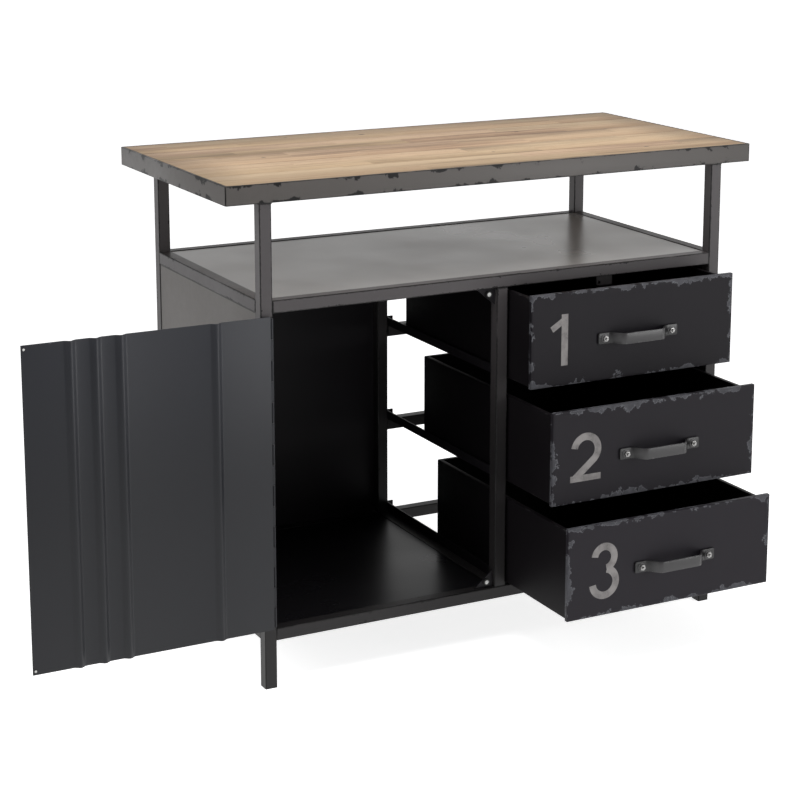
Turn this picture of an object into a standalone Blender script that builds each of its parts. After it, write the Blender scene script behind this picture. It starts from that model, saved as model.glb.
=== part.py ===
"""Industrial sideboard buffet: a welded square-tube frame with a plank top, one door and three drawers.

Every piece is its own object. The carcass frame of reference has X along the length from the left
posts' outer face, Y from the front of the frame to the back and Z up from the floor. The empty
"sideboard" moves that frame so that the world origin lies under the middle of the whole object.
The door stands open and the drawers stand partly out: that is the rest position of their joints.
"""

import math

import bmesh
import bpy
from mathutils import Matrix, Vector

# Driving dimensions, in metres -------------------------------------------------------------

TOP_LENGTH = 0.950
TOP_DEPTH = 0.450
HEIGHT = 0.800
TOP_SIDE_OVERHANG = 0.055
TOP_FRONT_OVERHANG = 0.0025

TUBE = 0.020
TUBE_WALL = 0.0015
TUBE_CORNER_RADIUS = 0.0012
SHEET = 0.0012
GAP = 0.0003

RIM_HEIGHT = 0.030
RIM_THICKNESS = 0.003
RIM_LEDGE = 0.020
BOARD_COUNT = 5
BOARD_SEAM = 0.0004
BOARD_EDGE_RADIUS = 0.0006
CROSSBAR_COUNT = 2
CROSSBAR_WIDTH = 0.030

SHELF_TOP = 0.620
BASE_TOP = 0.0975
SHEET_RECESS = 0.001

DOOR_SHEET = 0.0015
DOOR_HINGE_GAP = 0.001
DOOR_FREE_GAP = 0.0025
DOOR_TOP_GAP = 0.003
DOOR_BOTTOM_GAP = 0.001
DOOR_REST_ANGLE = math.radians(180)
RIB_WIDTH = 0.020
RIB_DEPTH = 0.005
RIB_STEPS = 8
RIB_PITCH = 0.0385
FIRST_RIB_FROM_FREE_EDGE = 0.0725
FREE_SIDE_RIBS = 3
HINGE_RIB_FROM_HINGE_EDGE = 0.088

HINGE_KNUCKLE_RADIUS = 0.002
HINGE_PIN_RADIUS = 0.0009
HINGE_PIN_CLEARANCE = 0.0003
HINGE_LEAF = 0.0008
HINGE_LEAF_WIDTH = 0.012
HINGE_KNUCKLES = 15
HINGE_KNUCKLE_CLEARANCE = 0.0006
HINGE_END_MARGIN = 0.003
HINGE_POST_EDGE_INSET = 0.0027

DRAWER_COUNT = 3
DRAWER_REST_TRAVEL = (0.0711, 0.1399, 0.1902)
DRAWER_EDGE_GAP = 0.002
DRAWER_SPACING = 0.022
DRAWER_SHEET = 0.0012
DRAWER_LIP = 0.007
DRAWER_REAR_CLEARANCE = 0.012
DRAWER_BOX_DROP = 0.005
DRAWER_BOX_LEFT_INSET = 0.002
DRAWER_BOX_RIGHT_INSET = 0.012
FRONT_SHEET = 0.0015
FRONT_RETURN = 0.008

RUNNER_LEG = 0.015
RUNNER_THICKNESS = 0.002
RUNNER_BEARING = 0.011
RUNNER_FRONT_CLEARANCE = 0.002
RUNNER_STOP_CLEARANCE = 0.001
RUNNER_SKIRT = 0.010

HANDLE_BOLT_SPACING = 0.128
HANDLE_TAB = 0.024
HANDLE_PLATE = 0.076
HANDLE_STANDOFF = 0.022
HANDLE_STRAP = 0.018
HANDLE_THICKNESS = 0.003
HANDLE_RIGHT_OF_CENTRE = 0.006
HANDLE_BELOW_CENTRE = 0.006
DOOR_HANDLE_FROM_FREE_EDGE = 0.034

GUSSET_LENGTH = 0.034
GUSSET_HEIGHT = 0.028
GUSSET_THICKNESS = 0.002
GUSSET_SETBACK = 0.0068
MAGNET_RADIUS = 0.005
MAGNET_PROUD = 0.004
MAGNET_FROM_POST = 0.0125
MAGNET_FROM_RAIL = 0.0095

STOP_WIDTH = 0.031
STOP_HANG = 0.021
STOP_LAP = 0.012
STOP_THICKNESS = 0.002
STOP_HOLE_RADIUS = 0.0028
STOP_CORNER = 0.006

# Worked out from the driving dimensions ----------------------------------------------------

FRAME_LENGTH = TOP_LENGTH - 2 * TOP_SIDE_OVERHANG
FRAME_DEPTH = TOP_DEPTH - 2 * TOP_FRONT_OVERHANG
RIM_BOTTOM = HEIGHT - RIM_HEIGHT
RAIL_BOTTOM = SHELF_TOP - TUBE
BASE_BOTTOM = BASE_TOP - TUBE
MIDDLE_LEFT = FRAME_LENGTH / 2 - TUBE / 2
MIDDLE_RIGHT = MIDDLE_LEFT + TUBE
RIGHT_POST = FRAME_LENGTH - TUBE
BACK_POST = FRAME_DEPTH - TUBE
OPENING_HEIGHT = RAIL_BOTTOM - BASE_TOP

FRONT_LEFT = MIDDLE_RIGHT + DRAWER_EDGE_GAP
FRONT_RIGHT = RIGHT_POST - DRAWER_EDGE_GAP
FRONT_WIDTH = FRONT_RIGHT - FRONT_LEFT
FRONT_HEIGHT = (
    OPENING_HEIGHT - 2 * DRAWER_EDGE_GAP - (DRAWER_COUNT - 1) * DRAWER_SPACING
) / DRAWER_COUNT
DRAWER_PITCH = FRONT_HEIGHT + DRAWER_SPACING
BOX_LEFT = FRONT_LEFT + DRAWER_BOX_LEFT_INSET
BOX_RIGHT = FRONT_RIGHT - DRAWER_BOX_RIGHT_INSET
BOX_FRONT = FRONT_SHEET + GAP
BOX_REAR = FRAME_DEPTH - DRAWER_REAR_CLEARANCE

DOOR_LEFT = TUBE + DOOR_HINGE_GAP
DOOR_RIGHT = MIDDLE_LEFT - DOOR_FREE_GAP
DOOR_WIDTH = DOOR_RIGHT - DOOR_LEFT
DOOR_BOTTOM = BASE_TOP + DOOR_BOTTOM_GAP
DOOR_TOP = RAIL_BOTTOM - DOOR_TOP_GAP
HINGE_X = TUBE - HINGE_POST_EDGE_INSET
HINGE_Y = -HINGE_KNUCKLE_RADIUS - GAP
HINGE_BOTTOM = DOOR_BOTTOM + HINGE_END_MARGIN
HINGE_TOP = DOOR_TOP - HINGE_END_MARGIN


# Building blocks ---------------------------------------------------------------------------


def clear_scene():
    """Removes every object that a new file starts with."""
    for item in list(bpy.data.objects):
        bpy.data.objects.remove(item, do_unlink=True)


def material(name, colour, roughness, metallic):
    """A plain Principled finish. Colour is linear RGB."""
    finish = bpy.data.materials.new(name)
    finish.use_nodes = True
    shader = finish.node_tree.nodes["Principled BSDF"]
    shader.inputs["Base Color"].default_value = (*colour, 1.0)
    shader.inputs["Roughness"].default_value = roughness
    shader.inputs["Metallic"].default_value = metallic
    finish.diffuse_color = (*colour, 1.0)
    return finish


def empty(name, parent, location=(0.0, 0.0, 0.0)):
    """A frame of reference that other objects hang from."""
    frame = bpy.data.objects.new(name, None)
    bpy.context.collection.objects.link(frame)
    frame.parent = parent
    frame.location = location
    return frame


def add_piece(name, mesh_data, finish_look, parent):
    """Puts a finished bmesh in the scene as one named object with its own material."""
    bmesh.ops.recalc_face_normals(mesh_data, faces=mesh_data.faces)
    mesh = bpy.data.meshes.new(name)
    mesh_data.to_mesh(mesh)
    mesh_data.free()
    piece = bpy.data.objects.new(name, mesh)
    bpy.context.collection.objects.link(piece)
    mesh.materials.append(material(name, *finish_look))
    piece.parent = parent
    return piece


def smooth_round_faces(piece, angle=math.radians(40)):
    """Shades a round piece smooth and keeps its real edges sharp."""
    piece.data.shade_smooth()
    piece.data.set_sharp_from_angle(angle=angle)


def stack(rings, closed=False):
    """A bmesh from rectangular or polygonal rings joined in order; a closed stack has no caps."""
    shape = bmesh.new()
    loops = [[shape.verts.new(point) for point in ring] for ring in rings]
    pairs = list(zip(loops, loops[1:]))
    if closed:
        pairs.append((loops[-1], loops[0]))
    for lower, upper in pairs:
        count = len(lower)
        for i in range(count):
            j = (i + 1) % count
            shape.faces.new((lower[i], lower[j], upper[j], upper[i]))
    if not closed:
        shape.faces.new(loops[0])
        shape.faces.new(loops[-1])
    return shape


def rectangle(x0, x1, y0, y1, z):
    """The four corners of a level rectangle."""
    return [(x0, y0, z), (x1, y0, z), (x1, y1, z), (x0, y1, z)]


def box(x0, x1, y0, y1, z0, z1):
    """A rectangular block between two corners."""
    return stack([rectangle(x0, x1, y0, y1, z0), rectangle(x0, x1, y0, y1, z1)])


def prism(outline, z0, z1):
    """An outline in X and Y, extruded from z0 to z1."""
    return stack([[(x, y, z) for x, y in outline] for z in (z0, z1)])


def cylinder(radius, depth, segments):
    """A closed cylinder along Z, centred on the origin."""
    shape = bmesh.new()
    bmesh.ops.create_cone(
        shape, cap_ends=True, segments=segments, radius1=radius, radius2=radius, depth=depth
    )
    return shape


def soften(shape, edges, radius, segments=2):
    """Rounds the given edges."""
    bmesh.ops.bevel(
        shape, geom=edges, offset=radius, offset_type="OFFSET", segments=segments,
        profile=0.5, affect="EDGES",
    )


def combine(name, base, others, operation):
    """One bmesh from a base and other closed shapes, by exact Boolean operations."""
    made = []
    for number, shape in enumerate([base, *others]):
        bmesh.ops.recalc_face_normals(shape, faces=shape.faces)
        mesh = bpy.data.meshes.new(f"{name}_work_{number}")
        shape.to_mesh(mesh)
        shape.free()
        helper = bpy.data.objects.new(mesh.name, mesh)
        bpy.context.collection.objects.link(helper)
        made.append(helper)
    for helper in made[1:]:
        step = made[0].modifiers.new(helper.name, "BOOLEAN")
        step.operation = operation
        step.solver = "EXACT"
        step.object = helper
    bpy.context.view_layer.update()
    graph = bpy.context.evaluated_depsgraph_get()
    result = bmesh.new()
    result.from_mesh(made[0].evaluated_get(graph).data)
    for helper in made:
        mesh = helper.data
        bpy.data.objects.remove(helper, do_unlink=True)
        bpy.data.meshes.remove(mesh)
    return result


# Finishes: linear colour, roughness, metallic ----------------------------------------------

FRAME_STEEL = ((0.125, 0.120, 0.118), 0.45, 0.6)
SHELF_STEEL = ((0.150, 0.148, 0.145), 0.32, 0.6)
PANEL_STEEL = ((0.130, 0.126, 0.122), 0.50, 0.5)
DARK_STEEL = ((0.030, 0.030, 0.034), 0.45, 0.5)
DOOR_STEEL = ((0.045, 0.046, 0.054), 0.40, 0.5)
HANDLE_STEEL = ((0.045, 0.043, 0.042), 0.35, 0.8)
BRIGHT_STEEL = ((0.550, 0.550, 0.550), 0.25, 1.0)
WOOD = ((0.470, 0.330, 0.205), 0.55, 0.0)


# Frame -------------------------------------------------------------------------------------


def tube(name, axis, start, end, first, second, parent, foot=False):
    """A square tube from start to end along an axis.

    first and second are its lowest coordinates on the other two axes, in X, Y, Z order. A foot
    closes the tube at its start with a plate as thick as its wall.
    """
    def ring(inset, along):
        corners = ((0, 0), (1, 0), (1, 1), (0, 1))
        points = []
        for a, b in corners:
            across = [
                first + (TUBE - inset if a else inset),
                second + (TUBE - inset if b else inset),
            ]
            across.insert("XYZ".index(axis), along)
            points.append(tuple(across))
        return points

    floor = start + TUBE_WALL if foot else start
    shape = stack(
        [ring(0, start), ring(0, end), ring(TUBE_WALL, end), ring(TUBE_WALL, floor)],
        closed=not foot,
    )
    direction = "XYZ".index(axis)
    shape.edges.ensure_lookup_table()
    limits = [(first, first + TUBE), (second, second + TUBE)]
    outer = []
    for edge in shape.edges:
        a, b = (list(v.co) for v in edge.verts)
        if abs(a[direction] - b[direction]) < TUBE:
            continue
        del a[direction]
        if all(min(abs(value - limit) for limit in pair) < GAP for value, pair in zip(a, limits)):
            outer.append(edge)
    soften(shape, outer, TUBE_CORNER_RADIUS)
    return add_piece(name, shape, FRAME_STEEL, parent)


def build_frame(parent):
    """Posts, upper and lower rails and the two rear cross rails."""
    for side, x in (("left", 0.0), ("right", RIGHT_POST)):
        for end, y in (("front", 0.0), ("back", BACK_POST)):
            tube(f"post_{end}_{side}", "Z", 0.0, RIM_BOTTOM - GAP, x, y, parent, foot=True)
    for end, y in (("front", 0.0), ("back", BACK_POST)):
        tube(f"post_{end}_middle", "Z", BASE_TOP + GAP, RAIL_BOTTOM - GAP, MIDDLE_LEFT, y, parent)
    for level, z in (("upper", RAIL_BOTTOM), ("lower", BASE_BOTTOM)):
        for end, y in (("front", 0.0), ("back", BACK_POST)):
            tube(f"rail_{level}_{end}", "X", TUBE + GAP, RIGHT_POST - GAP, y, z, parent)
        for side, x in (("left", 0.0), ("right", RIGHT_POST)):
            tube(f"rail_{level}_{side}", "Y", TUBE + GAP, BACK_POST - GAP, x, z, parent)
    under_shelf = SHELF_TOP - SHEET_RECESS - SHEET - GAP - TUBE
    tube("rail_upper_middle", "Y", TUBE + GAP, BACK_POST - GAP, MIDDLE_LEFT, under_shelf, parent)
    tube("rail_lower_middle", "Y", TUBE + GAP, BACK_POST - GAP, MIDDLE_LEFT, BASE_BOTTOM, parent)
    for number in range(1, DRAWER_COUNT):
        z = runner_bottom(number) - GAP - TUBE
        tube(
            f"rail_back_{number}", "X", MIDDLE_RIGHT + GAP, RIGHT_POST - GAP, BACK_POST, z, parent
        )


def build_sheets(parent):
    """Shelf, floor, side panels and back panel, each set in its ring of tubes."""
    inner = TUBE + GAP
    depth_end = BACK_POST - GAP
    shelf = box(
        inner, RIGHT_POST - GAP, inner, depth_end,
        SHELF_TOP - SHEET_RECESS - SHEET, SHELF_TOP - SHEET_RECESS,
    )
    add_piece("shelf_sheet", shelf, SHELF_STEEL, parent)
    floor = box(
        inner, MIDDLE_LEFT - GAP, inner, depth_end,
        BASE_TOP - SHEET_RECESS - SHEET, BASE_TOP - SHEET_RECESS,
    )
    add_piece("floor_sheet", floor, DARK_STEEL, parent)
    low, high = BASE_TOP + GAP, RAIL_BOTTOM - GAP
    left = box(SHEET_RECESS, SHEET_RECESS + SHEET, inner, depth_end, low, high)
    add_piece("side_panel_left", left, PANEL_STEEL, parent)
    outer = FRAME_LENGTH - SHEET_RECESS
    right = box(outer - SHEET, outer, inner, depth_end, low, high)
    add_piece("side_panel_right", right, PANEL_STEEL, parent)
    rear = FRAME_DEPTH - SHEET_RECESS
    back = box(inner, MIDDLE_LEFT - GAP, rear - SHEET, rear, low, high)
    add_piece("back_panel", back, DARK_STEEL, parent)


# Top ---------------------------------------------------------------------------------------


def rim_side(name, length, placement, parent):
    """One mitred angle iron of the rim, lying along +X with its inner side towards +Y."""
    profile = (
        (0.0, 0.0), (RIM_LEDGE, 0.0), (RIM_LEDGE, RIM_THICKNESS),
        (RIM_THICKNESS, RIM_THICKNESS), (RIM_THICKNESS, RIM_HEIGHT), (0.0, RIM_HEIGHT),
    )
    mitre = GAP / math.sqrt(2)
    ends = [
        [(depth + mitre, depth, z) for depth, z in profile],
        [(length - depth - mitre, depth, z) for depth, z in profile],
    ]
    shape = stack(ends)
    shape.transform(placement)
    return add_piece(name, shape, FRAME_STEEL, parent)


def build_top(parent):
    """The rim, the boards laid in it and the crossbars under them."""
    x0, y0 = -TOP_SIDE_OVERHANG, -TOP_FRONT_OVERHANG
    x1, y1 = x0 + TOP_LENGTH, y0 + TOP_DEPTH
    sides = (
        ("rim_front", TOP_LENGTH, (x0, y0), 0),
        ("rim_right", TOP_DEPTH, (x1, y0), 90),
        ("rim_back", TOP_LENGTH, (x1, y1), 180),
        ("rim_left", TOP_DEPTH, (x0, y1), 270),
    )
    for name, length, corner, turn in sides:
        placement = Matrix.Translation((*corner, RIM_BOTTOM))
        placement = placement @ Matrix.Rotation(math.radians(turn), 4, "Z")
        rim_side(name, length, placement, parent)

    bed = RIM_THICKNESS + GAP
    width = (TOP_DEPTH - 2 * bed - (BOARD_COUNT - 1) * BOARD_SEAM) / BOARD_COUNT
    for number in range(BOARD_COUNT):
        y = y0 + bed + number * (width + BOARD_SEAM)
        board = box(x0 + bed, x1 - bed, y, y + width, RIM_BOTTOM + bed, HEIGHT)
        lengthwise = [
            edge for edge in board.edges
            if abs(edge.verts[0].co.x - edge.verts[1].co.x) > width
            and edge.verts[0].co.z > HEIGHT - GAP
        ]
        soften(board, lengthwise, BOARD_EDGE_RADIUS, segments=1)
        add_piece(f"top_board_{number + 1}", board, WOOD, parent)

    ledge = RIM_LEDGE + GAP
    for number in range(1, CROSSBAR_COUNT + 1):
        x = x0 + TOP_LENGTH * number / (CROSSBAR_COUNT + 1) - CROSSBAR_WIDTH / 2
        bar = box(
            x, x + CROSSBAR_WIDTH, y0 + ledge, y1 - ledge, RIM_BOTTOM, RIM_BOTTOM + RIM_THICKNESS
        )
        add_piece(f"top_crossbar_{number}", bar, FRAME_STEEL, parent)


# Handles -----------------------------------------------------------------------------------


def strap_path():
    """Centre line of a bent strap handle, from one tab's end to the other, as (along, out)."""
    back = HANDLE_THICKNESS / 2 + GAP
    out = HANDLE_STANDOFF - HANDLE_THICKNESS / 2
    half_tab = HANDLE_TAB / 2
    bolt = HANDLE_BOLT_SPACING / 2
    return [
        (-bolt - half_tab, back), (-bolt + half_tab, back), (-HANDLE_PLATE / 2, out),
        (HANDLE_PLATE / 2, out), (bolt - half_tab, back), (bolt + half_tab, back),
    ]


def thicken(path, thickness):
    """A closed outline on both sides of an open path, with mitred corners."""
    points = [Vector(point) for point in path]
    sides = ([], [])
    for i, point in enumerate(points):
        before = (point - points[i - 1]).normalized() if i else None
        after = (points[i + 1] - point).normalized() if i + 1 < len(points) else None
        along = (before or after) + (after or before)
        along.normalize()
        normal = Vector((-along.y, along.x))
        reach = thickness / 2 / max(0.2, along.dot(after or before))
        sides[0].append(tuple(point - normal * reach))
        sides[1].append(tuple(point + normal * reach))
    return sides[0] + sides[1][::-1]


def strap_handle(name, placement, parent):
    """A strap handle made along X, standing out towards -Y, then put in its place."""
    outline = [(along, -out) for along, out in thicken(strap_path(), HANDLE_THICKNESS)]
    shape = prism(outline, -HANDLE_STRAP / 2, HANDLE_STRAP / 2)
    shape.transform(placement)
    return add_piece(name, shape, HANDLE_STEEL, parent)


# Drawers -----------------------------------------------------------------------------------


def front_bottom(number):
    """Height of the lower edge of a drawer front; drawer 1 is the top one."""
    return BASE_TOP + DRAWER_EDGE_GAP + (DRAWER_COUNT - number) * DRAWER_PITCH


def box_bottom(number):
    """Height of the underside of a drawer box."""
    return front_bottom(number) + FRONT_SHEET + GAP


def runner_bottom(number):
    """Height of the underside of a drawer's runners."""
    return box_bottom(number) - GAP - RUNNER_THICKNESS


def drawer_box(number, parent):
    """An open sheet-metal box with a lip folded inwards round its top."""
    low = box_bottom(number)
    high = front_bottom(number) + FRONT_HEIGHT - DRAWER_BOX_DROP

    def ring(inset, z):
        return rectangle(BOX_LEFT + inset, BOX_RIGHT - inset, BOX_FRONT + inset, BOX_REAR - inset, z)

    shape = stack([
        ring(0.0, low), ring(0.0, high), ring(DRAWER_LIP, high),
        ring(DRAWER_LIP, high - DRAWER_SHEET), ring(DRAWER_SHEET, high - DRAWER_SHEET),
        ring(DRAWER_SHEET, low + DRAWER_SHEET),
    ])
    add_piece(f"drawer_{number}_box", shape, DARK_STEEL, parent)


def drawer_front(number, parent):
    """A front panel whose four edges are folded back."""
    low = front_bottom(number)
    high = low + FRONT_HEIGHT

    def ring(inset, y):
        return [
            (FRONT_LEFT + inset, y, low + inset), (FRONT_RIGHT - inset, y, low + inset),
            (FRONT_RIGHT - inset, y, high - inset), (FRONT_LEFT + inset, y, high - inset),
        ]

    shape = stack([
        ring(0.0, 0.0), ring(0.0, FRONT_RETURN), ring(FRONT_SHEET, FRONT_RETURN),
        ring(FRONT_SHEET, FRONT_SHEET),
    ])
    add_piece(f"drawer_{number}_front", shape, DARK_STEEL, parent)


def build_drawers(parent):
    """Each drawer hangs from an empty that slides along Y."""
    for number, travel in zip(range(1, DRAWER_COUNT + 1), DRAWER_REST_TRAVEL):
        slide = empty(f"drawer_{number}_slide", parent, (0.0, -travel, 0.0))
        drawer_box(number, slide)
        drawer_front(number, slide)
        centre = (
            (FRONT_LEFT + FRONT_RIGHT) / 2 + HANDLE_RIGHT_OF_CENTRE,
            0.0,
            front_bottom(number) + FRONT_HEIGHT / 2 - HANDLE_BELOW_CENTRE,
        )
        strap_handle(f"drawer_{number}_handle", Matrix.Translation(centre), slide)


def runner(number, side, parent):
    """An angle under one side of a drawer, closed at its rear end by a stop.

    The lowest pair has a skirt that hangs beside the lower rail and closes the slot above it.
    """
    low = runner_bottom(number)
    front = FRONT_RETURN + RUNNER_FRONT_CLEARANCE
    stop = BOX_REAR + RUNNER_STOP_CLEARANCE
    rear = stop + RUNNER_THICKNESS
    if side == "left":
        wall, inward = MIDDLE_RIGHT + GAP, 1.0
        reach = BOX_LEFT - wall + RUNNER_BEARING
    else:
        wall, inward = RIGHT_POST - GAP, -1.0
        reach = wall - BOX_RIGHT + RUNNER_BEARING

    def block(near, far, y0, y1, z0, z1):
        a, b = sorted((wall + inward * near, wall + inward * far))
        return box(a, b, y0, y1, z0, z1)

    upright = block(0.0, RUNNER_THICKNESS, front, rear, low, low + RUNNER_LEG)
    foot = block(RUNNER_THICKNESS / 2, reach, front, rear, low, low + RUNNER_THICKNESS)
    end = block(RUNNER_THICKNESS / 2, reach, stop, rear, low, low + RUNNER_LEG)
    parts = [foot, end]
    if number == DRAWER_COUNT:
        lap = BASE_TOP - RUNNER_SKIRT
        parts.append(
            block(0.0, RUNNER_THICKNESS, TUBE + GAP, BACK_POST - GAP, lap, low + RUNNER_THICKNESS)
        )
    name = f"runner_{number}_{side}"
    add_piece(name, combine(name, upright, parts, "UNION"), FRAME_STEEL, parent)


def build_runners(parent):
    """Two runners for each drawer and the stop plate over the top drawer."""
    for number in range(1, DRAWER_COUNT + 1):
        for side in ("left", "right"):
            runner(number, side, parent)
    centre = (MIDDLE_RIGHT + RIGHT_POST) / 2
    low, high = -STOP_HANG, STOP_LAP
    x0, x1 = centre - STOP_WIDTH / 2, centre + STOP_WIDTH / 2
    corner = [
        (
            x0 + STOP_CORNER - STOP_CORNER * math.cos(math.radians(15 * step)),
            low + STOP_CORNER - STOP_CORNER * math.sin(math.radians(15 * step)),
        )
        for step in range(7)
    ]
    plate = prism([*corner, (x1, low), (x1, high), (x0, high)], 0.0, STOP_THICKNESS)
    drill = cylinder(STOP_HOLE_RADIUS, 4 * STOP_THICKNESS, 20)
    drill.transform(Matrix.Translation((x0 + STOP_CORNER, low + STOP_CORNER, STOP_THICKNESS / 2)))
    shape = combine("drawer_stop_plate", plate, [drill], "DIFFERENCE")
    upright = Matrix.Rotation(math.radians(90), 4, "X")
    place = Matrix.Translation((0.0, TUBE + GAP + STOP_THICKNESS, RAIL_BOTTOM))
    shape.transform(place @ upright)
    add_piece("drawer_stop_plate", shape, FRAME_STEEL, parent)


# Door --------------------------------------------------------------------------------------


def rib_centres():
    """Distances of the ribs from the door's hinge edge."""
    free = [
        DOOR_WIDTH - FIRST_RIB_FROM_FREE_EDGE - number * RIB_PITCH
        for number in range(FREE_SIDE_RIBS)
    ]
    return [HINGE_RIB_FROM_HINGE_EDGE, *reversed(free)]


def door_outline():
    """The pressed sheet seen from above, closed: outer face at Y = 0, ribs standing inwards."""
    stations = [0.0]
    for centre in rib_centres():
        for step in range(RIB_STEPS + 1):
            stations.append(centre + RIB_WIDTH * (step / RIB_STEPS - 0.5))
    stations.append(DOOR_WIDTH)

    def rise(station):
        for centre in rib_centres():
            share = (station - centre) / RIB_WIDTH
            if abs(share) < 0.5:
                return RIB_DEPTH * (0.5 + 0.5 * math.cos(2 * math.pi * share))
        return 0.0

    outer = [(DOOR_LEFT + station, rise(station)) for station in stations]
    inner = [(x, y + DOOR_SHEET) for x, y in outer]
    return outer + inner[::-1]


def knuckle_spans(owner):
    """The heights of one leaf's knuckles: the post's are the even ones, the door's the odd ones."""
    length = (HINGE_TOP - HINGE_BOTTOM) / HINGE_KNUCKLES
    spare = HINGE_KNUCKLE_CLEARANCE / 2
    first = 0 if owner == "post" else 1
    return [
        (HINGE_BOTTOM + i * length + spare, HINGE_BOTTOM + (i + 1) * length - spare)
        for i in range(first, HINGE_KNUCKLES, 2)
    ]


def hinge_leaf(name, owner, parent):
    """A leaf with its row of knuckles, about the hinge axis at X = Y = 0, door closed."""
    away = -1.0 if owner == "post" else 1.0
    back = HINGE_KNUCKLE_RADIUS
    clear = HINGE_KNUCKLE_RADIUS + HINGE_KNUCKLE_CLEARANCE
    x0, x1 = sorted((away * clear, away * (clear + HINGE_LEAF_WIDTH - HINGE_KNUCKLE_RADIUS)))
    plate = box(x0, x1, back - HINGE_LEAF, back, HINGE_BOTTOM, HINGE_TOP)
    parts = []
    for low, high in knuckle_spans(owner):
        barrel = cylinder(HINGE_KNUCKLE_RADIUS, high - low, 24)
        barrel.transform(Matrix.Translation((0.0, 0.0, (low + high) / 2)))
        parts.append(barrel)
        a, b = sorted((0.0, away * (clear + HINGE_LEAF)))
        parts.append(box(a, b, back - HINGE_LEAF, back, low, high))
    solid = combine(f"{name}_solid", plate, parts, "UNION")
    bore = cylinder(HINGE_PIN_RADIUS + HINGE_PIN_CLEARANCE, 2 * HEIGHT, 16)
    shape = combine(f"{name}_bore", solid, [bore], "DIFFERENCE")
    return add_piece(name, shape, HANDLE_STEEL, parent)


def build_door(parent):
    """The door hangs from an empty on the hinge axis, turned to its open rest position."""
    axis = (HINGE_X, HINGE_Y, 0.0)
    fixed = empty("door_hinge_axis", parent, axis)
    leaf = hinge_leaf("hinge_post_leaf", "post", fixed)
    smooth_round_faces(leaf)
    pin = cylinder(HINGE_PIN_RADIUS, HINGE_TOP - HINGE_BOTTOM, 16)
    pin.transform(Matrix.Translation((0.0, 0.0, (HINGE_BOTTOM + HINGE_TOP) / 2)))
    smooth_round_faces(add_piece("hinge_pin", pin, BRIGHT_STEEL, fixed))

    swing = empty("door_swing", parent, axis)
    swing.rotation_euler = (0.0, 0.0, -DOOR_REST_ANGLE)
    smooth_round_faces(hinge_leaf("hinge_door_leaf", "door", swing))
    panel = prism(door_outline(), DOOR_BOTTOM, DOOR_TOP)
    panel.transform(Matrix.Translation((-HINGE_X, -HINGE_Y, 0.0)))
    smooth_round_faces(add_piece("door_panel", panel, DOOR_STEEL, swing))
    centre = (
        DOOR_RIGHT - DOOR_HANDLE_FROM_FREE_EDGE - HINGE_X,
        -HINGE_Y,
        (DOOR_BOTTOM + DOOR_TOP) / 2,
    )
    place = Matrix.Translation(centre) @ Matrix.Rotation(math.radians(90), 4, "Y")
    strap_handle("door_handle", place, swing)


def build_catches(parent):
    """A gusset with a round magnet in each corner on the door's free side."""
    corner_x = MIDDLE_LEFT - GAP
    front = GUSSET_SETBACK
    levels = (("upper", RAIL_BOTTOM - GAP, -1.0), ("lower", BASE_TOP + GAP, 1.0))
    upright = Matrix.Rotation(math.radians(90), 4, "X")
    for level, z, inward in levels:
        outline = [(0.0, 0.0), (-GUSSET_LENGTH, 0.0), (0.0, inward * GUSSET_HEIGHT)]
        plate = prism(outline, 0.0, GUSSET_THICKNESS)
        plate.transform(Matrix.Translation((corner_x, front + GUSSET_THICKNESS, z)) @ upright)
        add_piece(f"gusset_{level}", plate, FRAME_STEEL, parent)
        magnet = cylinder(MAGNET_RADIUS, MAGNET_PROUD, 28)
        centre = (
            corner_x - MAGNET_FROM_POST,
            front - GAP - MAGNET_PROUD / 2,
            z + inward * MAGNET_FROM_RAIL,
        )
        magnet.transform(Matrix.Translation(centre) @ upright)
        smooth_round_faces(add_piece(f"magnet_{level}", magnet, BRIGHT_STEEL, parent))


# Assembly ----------------------------------------------------------------------------------


def centre_on_origin(root):
    """Moves the whole object so that the origin is under the middle of its bounding box."""
    bpy.context.view_layer.update()
    corners = [
        item.matrix_world @ Vector(corner)
        for item in bpy.data.objects if item.type == "MESH"
        for corner in item.bound_box
    ]
    low = [min(corner[i] for corner in corners) for i in range(3)]
    high = [max(corner[i] for corner in corners) for i in range(3)]
    root.location = (-(low[0] + high[0]) / 2, -(low[1] + high[1]) / 2, -low[2])
    bpy.context.view_layer.update()


def main():
    """Builds every piece."""
    clear_scene()
    root = empty("sideboard", None)
    build_top(root)
    build_frame(root)
    build_sheets(root)
    build_runners(root)
    build_catches(root)
    build_door(root)
    build_drawers(root)
    centre_on_origin(root)


main()
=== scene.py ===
"""Looks of the industrial sideboard buffet: planks, pressed steel, strap handles, worn paint."""

import logging
import math
import random
from contextlib import contextmanager
from dataclasses import dataclass, field, replace
from enum import Enum
from typing import Callable, Iterator, Optional, Union

import bmesh
import bpy
from mathutils import Matrix, Vector


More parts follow.
